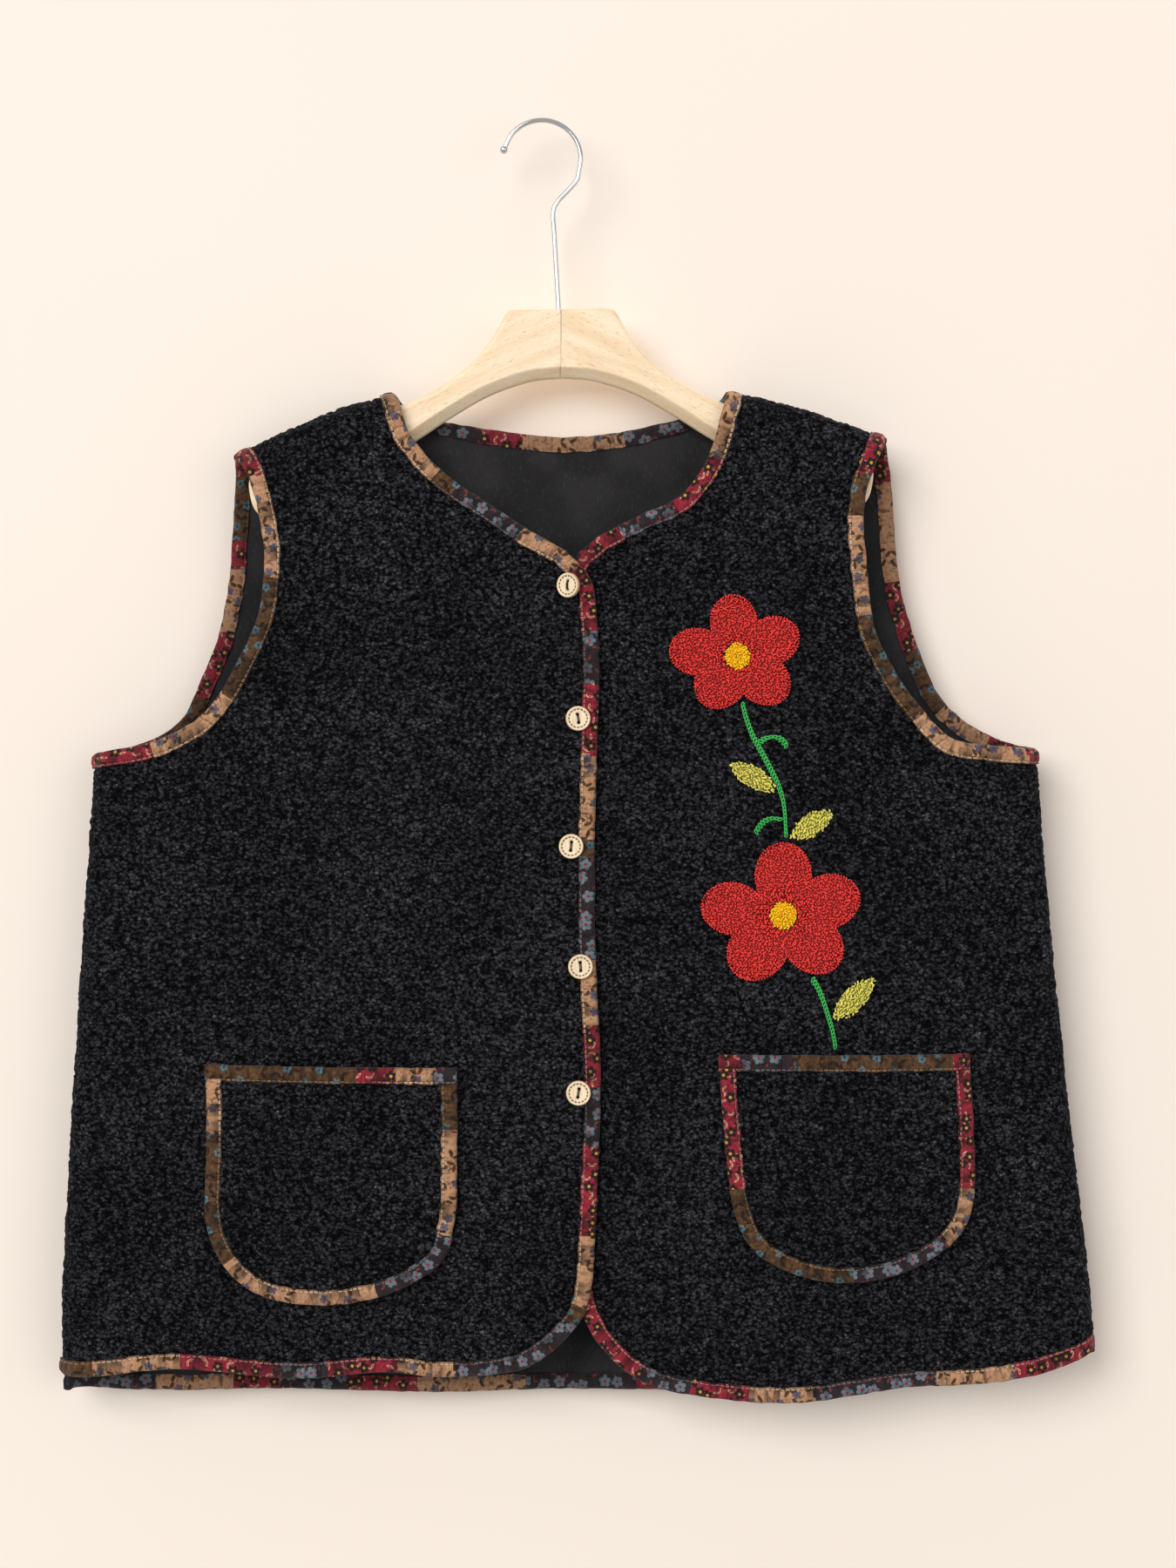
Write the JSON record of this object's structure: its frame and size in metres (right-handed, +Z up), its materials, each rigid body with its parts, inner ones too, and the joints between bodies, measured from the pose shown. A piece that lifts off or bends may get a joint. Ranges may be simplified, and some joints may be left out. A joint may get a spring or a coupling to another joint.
{
  "type": "embroidered vest on a hanger",
  "caption": "Sleeveless buttoned sherpa vest with patchwork bindings, two patch pockets and raised flower embroidery, hanging on a wooden hanger with a wire hook",
  "frame": {"origin": "inside of the crown of the wire hook, where a rail carries the hanger and the vest", "axes": "+Z up, the vest's front faces -Y, +X towards the wearer's left side"},
  "size_m": [0.6426, 0.0485, 0.795],
  "materials": {
    "sherpa": "matte curly black pile",
    "cotton_binding": "patchwork of small printed cottons",
    "petal_yarn": "looped red yarn",
    "eye_yarn": "looped yellow yarn",
    "leaf_yarn": "satin stitched olive yarn",
    "stem_yarn": "chain stitched green yarn",
    "button_wood": "satin turned wood",
    "hanger_wood": "satin varnished beech",
    "hook_steel": "polished wire"
  },
  "bodies": {
    "root": {"back": "sherpa", "right_front": "sherpa", "left_front": "sherpa", "right_pocket": "sherpa", "left_pocket": "sherpa", "right_front_binding": "cotton_binding", "left_front_binding": "cotton_binding", "back_neck_binding": "cotton_binding", "back_hem_binding": "cotton_binding", "right_armhole_front_binding": "cotton_binding", "right_armhole_back_binding": "cotton_binding", "left_armhole_front_binding": "cotton_binding", "left_armhole_back_binding": "cotton_binding", "right_pocket_binding": "cotton_binding", "right_pocket_mouth_binding": "cotton_binding", "left_pocket_binding": "cotton_binding", "left_pocket_mouth_binding": "cotton_binding", "flower_upper_petals": "petal_yarn", "flower_lower_petals": "petal_yarn", "flower_upper_eye": "eye_yarn", "flower_lower_eye": "eye_yarn", "leaf_1": "leaf_yarn", "leaf_2": "leaf_yarn", "leaf_3": "leaf_yarn", "stem_upper": "stem_yarn", "stem_lower": "stem_yarn", "curl_upper": "stem_yarn", "curl_lower": "stem_yarn", "button_1": "button_wood", "button_2": "button_wood", "button_3": "button_wood", "button_4": "button_wood", "button_5": "button_wood", "hanger_arm_right": "hanger_wood", "hanger_arm_left": "hanger_wood", "hook": "hook_steel"}
  },
  "joints": []
}
